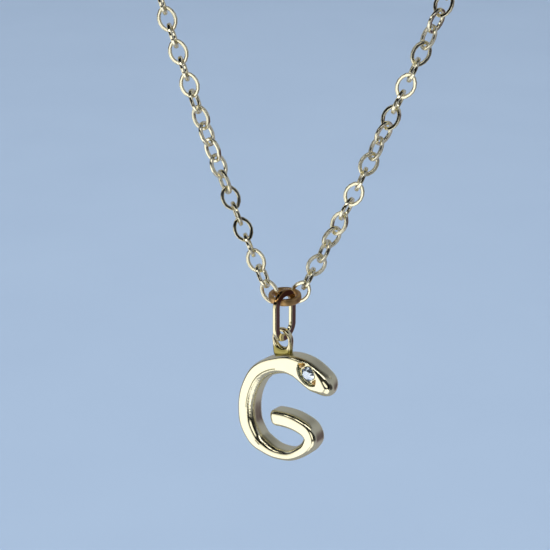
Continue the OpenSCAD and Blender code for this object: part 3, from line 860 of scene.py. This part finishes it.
def link_frames(line, numbers, turns):
    """For each link: its long direction is the chain's heading, its face points away from the middle
    of the neck, and both are turned about the chain by a quarter for every second link and by the
    slow twist that the table gives."""
    s = numbers * LINK_PITCH
    middle = place(line, s)
    u = heading(line, s, LINK_PITCH / 2)
    out = (middle - [0, neck_middle_y, 0]) * [1, 1, 0]
    n = unit(out - (out * u).sum(axis=1, keepdims=True) * u)
    v = np.cross(n, u)
    angle = np.radians(90 * (numbers % 2) + np.interp(numbers, turns[:, 0], turns[:, 1]))[:, None]
    side = v * np.cos(angle) + n * np.sin(angle)
    face = n * np.cos(angle) - v * np.sin(angle)
    return middle - nape, np.stack([u, side, face], axis=1)


def chain_piece(name, line, numbers, turns, shape, mirror):
    """All links of one stretch as one mesh: link points times frames, plus middles. A mirrored side
    has its faces turned round again."""
    points, faces = shape
    middles, frames = link_frames(line, numbers, turns)
    placed = (np.einsum("pk,nkc->npc", points, frames) + middles[:, None]) * (MIRROR if mirror else 1)
    numbered = faces[None] + (np.arange(len(numbers)) * len(points))[:, None, None]
    numbered = numbered.reshape(-1, 4)
    return make_piece(name, placed.reshape(-1, 3), [numbered[:, ::-1] if mirror else numbered],
                      wire_gold, "necklace")


# The first links of each side have the finer shape. A shape is given by the steps round each end and
# along each side, and by the section.
NEAR = 30
near_link = link_skin(6, 5, pressed(LINK_BAND, LINK_THICK, 0.1, 3))
far_link = link_skin(3, 3, rounded(LINK_BAND, LINK_THICK, 2.4, 5))
print("faces of a near link:", len(near_link[1]), "| of a far one:", len(far_link[1]))
right_turns = np.array([[0, 10], [3, 24], [7, 84], [9, 104], [12, 148], [14, 170], [16, 192], [20, 250],
                        [23, 264], [40, 360], [110, 360]])
left_turns = np.array([[0, 6], [2, -8], [4, -34], [6, -42], [8, -70], [11, -90], [13, -116], [17, -119],
                       [40, -180], [110, -180]])
SIDES = (("right", right_line, right_turns, False), ("left", left_line, left_turns, True))
for side, line, turns, mirror in SIDES:
    near = chain_piece(f"chain_{side}_near", line, np.arange(NEAR), turns, near_link, mirror)
    far = chain_piece(f"chain_{side}_far", line, np.arange(NEAR, link_count), turns, far_link, mirror)
    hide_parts(f"chain_{side}")
    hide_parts(f"chain_{side}")

# %% [markdown]
# ## Clasp
# The clasp lies at the nape, out of the photograph. It is a plain barrel with a rounded shoulder at
# each end, turned on a lathe. A Screw modifier could turn a profile too, but here the profile is only
# an array carried round the axis, with a fine groove near each end and a seam in the middle.

# %% Barrel
CLASP_D, LOOP_SEAT, SHOULDER_R, LATHE = 3.0, 0.75, 0.7, 48
barrel_half = loop_at[0] - LINK_LEN / 2 + LOOP_SEAT * LINK_BAND
# A hair inside the model's cylinder, whose sides are straight between its points
clasp_r = 0.996 * CLASP_D / 2
shoulder = np.radians(np.linspace(8, 90, 12))
end_x = barrel_half - SHOULDER_R * (1 - np.cos(shoulder))
end_r = clasp_r - SHOULDER_R * (1 - np.sin(shoulder))
# Each groove as shares of the half length and of the radius, and then half of the seam
groove = np.array([[0.62, 1.0], [0.60, 0.95], [0.57, 0.95], [0.55, 1.0]])
half_x = np.concatenate([end_x, groove[:, 0] * barrel_half, [0.06, 0.03]])
half_r = np.concatenate([end_r, groove[:, 1] * clasp_r, [clasp_r, 0.96 * clasp_r]])
profile_x = np.concatenate([half_x, -half_x[::-1]])
profile_r = np.concatenate([half_r, half_r[::-1]])
_, lathe_out = circle_path(1, LATHE)
barrel = np.stack([
    np.repeat(profile_x[:, None], LATHE, axis=1),
    profile_r[:, None] * lathe_out[:, 0],
    profile_r[:, None] * lathe_out[:, 1],
], axis=-1)
lathe_rows = len(profile_x)
barrel_points = np.vstack([barrel.reshape(-1, 3), [[barrel_half, 0, 0], [-barrel_half, 0, 0]]])
barrel_faces = [
    grid_faces(lathe_rows, LATHE, False)[:, ::-1],
    fan_faces(0, LATHE, lathe_rows * LATHE, True),
    fan_faces(lathe_rows - 1, LATHE, lathe_rows * LATHE + 1, False),
]
clasp = make_piece("clasp_barrel", barrel_points, barrel_faces, wire_gold, "necklace")
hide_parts("clasp")

# %% [markdown]
# Each end loop has the shape and place of one more link, so the last link of its side hangs in it as
# in any other. It stands partly in the barrel, as if soldered there. A torus would be simpler, but it
# would be rounder than the model's loop.

# %% End loops
for side, line, turns, mirror in SIDES:
    loop = chain_piece(f"clasp_loop_{side}", line, np.array([link_count]), turns, near_link, mirror)
    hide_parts("clasp")

# %% [markdown]
# ## Stone
# The stone is a round brilliant of cubic zirconia, a clear crystal that bends light almost as much as
# diamond does. Its flat facets come from the CAD model and stay, because flat is what they are. Only
# the material is made here: very glossy, clear, and with a faint cool cloud. A real brilliant sends
# most light back out through its top after two bounces inside. Tracing those bounces takes many
# samples, so a share of metal on the facets stands in for them.

# %% Material: cubic zirconia
crystal = bpy.data.materials.new("cubic_zirconia")
crystal.use_nodes = True
tree = crystal.node_tree
tree.nodes.clear()
spot = add_node(tree, "ShaderNodeTexCoord").outputs["Object"]
cloud = add_node(tree, "ShaderNodeTexNoise", Vector=spot, Scale=grain(0.5), Detail=2.0)
water = add_node(tree, "ShaderNodeMixRGB", Fac=cloud.outputs["Fac"], Color1=linear("#F2FAFF"),
                 Color2=linear("#D4E6F8"))
clear = add_node(tree, "ShaderNodeBsdfPrincipled", Base_Color=water.outputs["Color"], Roughness=0.01,
                 IOR=2.16, Metallic=0.55, Transmission_Weight=0.85)
add_node(tree, "ShaderNodeOutputMaterial", Surface=clear.outputs["BSDF"])
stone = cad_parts["stone"]
stone.data.materials.clear()
stone.data.materials.append(crystal)
print("stone:", len(stone.data.polygons), "faces in cubic zirconia")

# %% [markdown]
# ## Floor
# The pendant is shown over a plain pale floor that curves up into a backdrop far behind. It is there
# for the eye and not for the light, so the metal doesn't mirror it. Its paint is matt and mottled very
# faintly, as a painted board is.

# %% Material: matt paint
floor_paint = bpy.data.materials.new("matt_pale_paint")
floor_paint.use_nodes = True
paint_tree = floor_paint.node_tree
paint_tree.nodes.clear()
spot = add_node(paint_tree, "ShaderNodeTexCoord").outputs["Object"]
mottle = add_node(paint_tree, "ShaderNodeTexNoise", Vector=spot, Scale=grain(60), Detail=2.0)
paint = add_node(paint_tree, "ShaderNodeMixRGB", Fac=mottle.outputs["Fac"], Color1=linear("#AEC4DD"),
                 Color2=linear("#A9BFD9"))
matt = add_node(paint_tree, "ShaderNodeBsdfPrincipled", Base_Color=paint.outputs["Color"], Roughness=0.9)
add_node(paint_tree, "ShaderNodeOutputMaterial", Surface=matt.outputs["BSDF"])

# %% [markdown]
# The floor is a dish turned round an upright axis: flat in the middle, bent up by a quarter circle,
# then a wall. A plane and a second plane behind it would show a corner in some views, and this shows
# none from any side. One broad lamp overhead lights it, and that is kept out of the metal too.

# %% Dish and lamp
FLOOR_Z, FLOOR_R, BEND_R, WALL_TOP, FLAT_RINGS = -300, 2500, 900, 4000, [1, 300, 1000]
bend = np.radians(np.linspace(0, 90, 16))
dish_r = np.concatenate([FLAT_RINGS, FLOOR_R - BEND_R + BEND_R * np.sin(bend), [FLOOR_R]])
dish_z = np.concatenate([np.zeros(len(FLAT_RINGS)), BEND_R * (1 - np.cos(bend)), [WALL_TOP]]) + FLOOR_Z
_, dish_out = circle_path(1, RING_STEPS)
dish = np.stack([dish_r[:, None] * dish_out[:, 0], dish_r[:, None] * dish_out[:, 1],
                 np.repeat(dish_z[:, None], RING_STEPS, axis=1)], axis=-1)
dish_points = np.vstack([dish.reshape(-1, 3), [[0, 0, FLOOR_Z]]]) * MM
dish_faces = [
    grid_faces(len(dish_r), RING_STEPS, False),
    fan_faces(0, RING_STEPS, len(dish_r) * RING_STEPS, False),
]
floor_mesh = bpy.data.meshes.new("floor")
floor_mesh.from_pydata(dish_points.tolist(), [], [f for part in dish_faces for f in part.tolist()])
floor_mesh.polygons.foreach_set("use_smooth", np.ones(len(floor_mesh.polygons), dtype=bool))
floor_mesh.materials.append(floor_paint)
floor = bpy.data.objects.new("floor", floor_mesh)
bpy.context.scene.collection.objects.link(floor)
floor.visible_glossy = floor.visible_transmission = floor.visible_shadow = floor.visible_diffuse = False
print("floor:", len(floor_mesh.polygons), "faces, backdrop", FLOOR_R / 1000, "m away")

lamp = bpy.data.objects.new("ceiling_lamp", bpy.data.lights.new("ceiling_lamp", "AREA"))
bpy.context.scene.collection.objects.link(lamp)
lamp.data.shape, lamp.data.size, lamp.data.energy = "DISK", 3.0, 78
lamp.location = (0, -0.6, 2.4)
lamp.visible_glossy = False

# %% [markdown]
# ## Finish
# The picture uses the plain view transform, so a panel in the sky burns out on the metal as it does in a
# photograph.

# %% View transform
bpy.context.scene.view_settings.view_transform = "Standard"
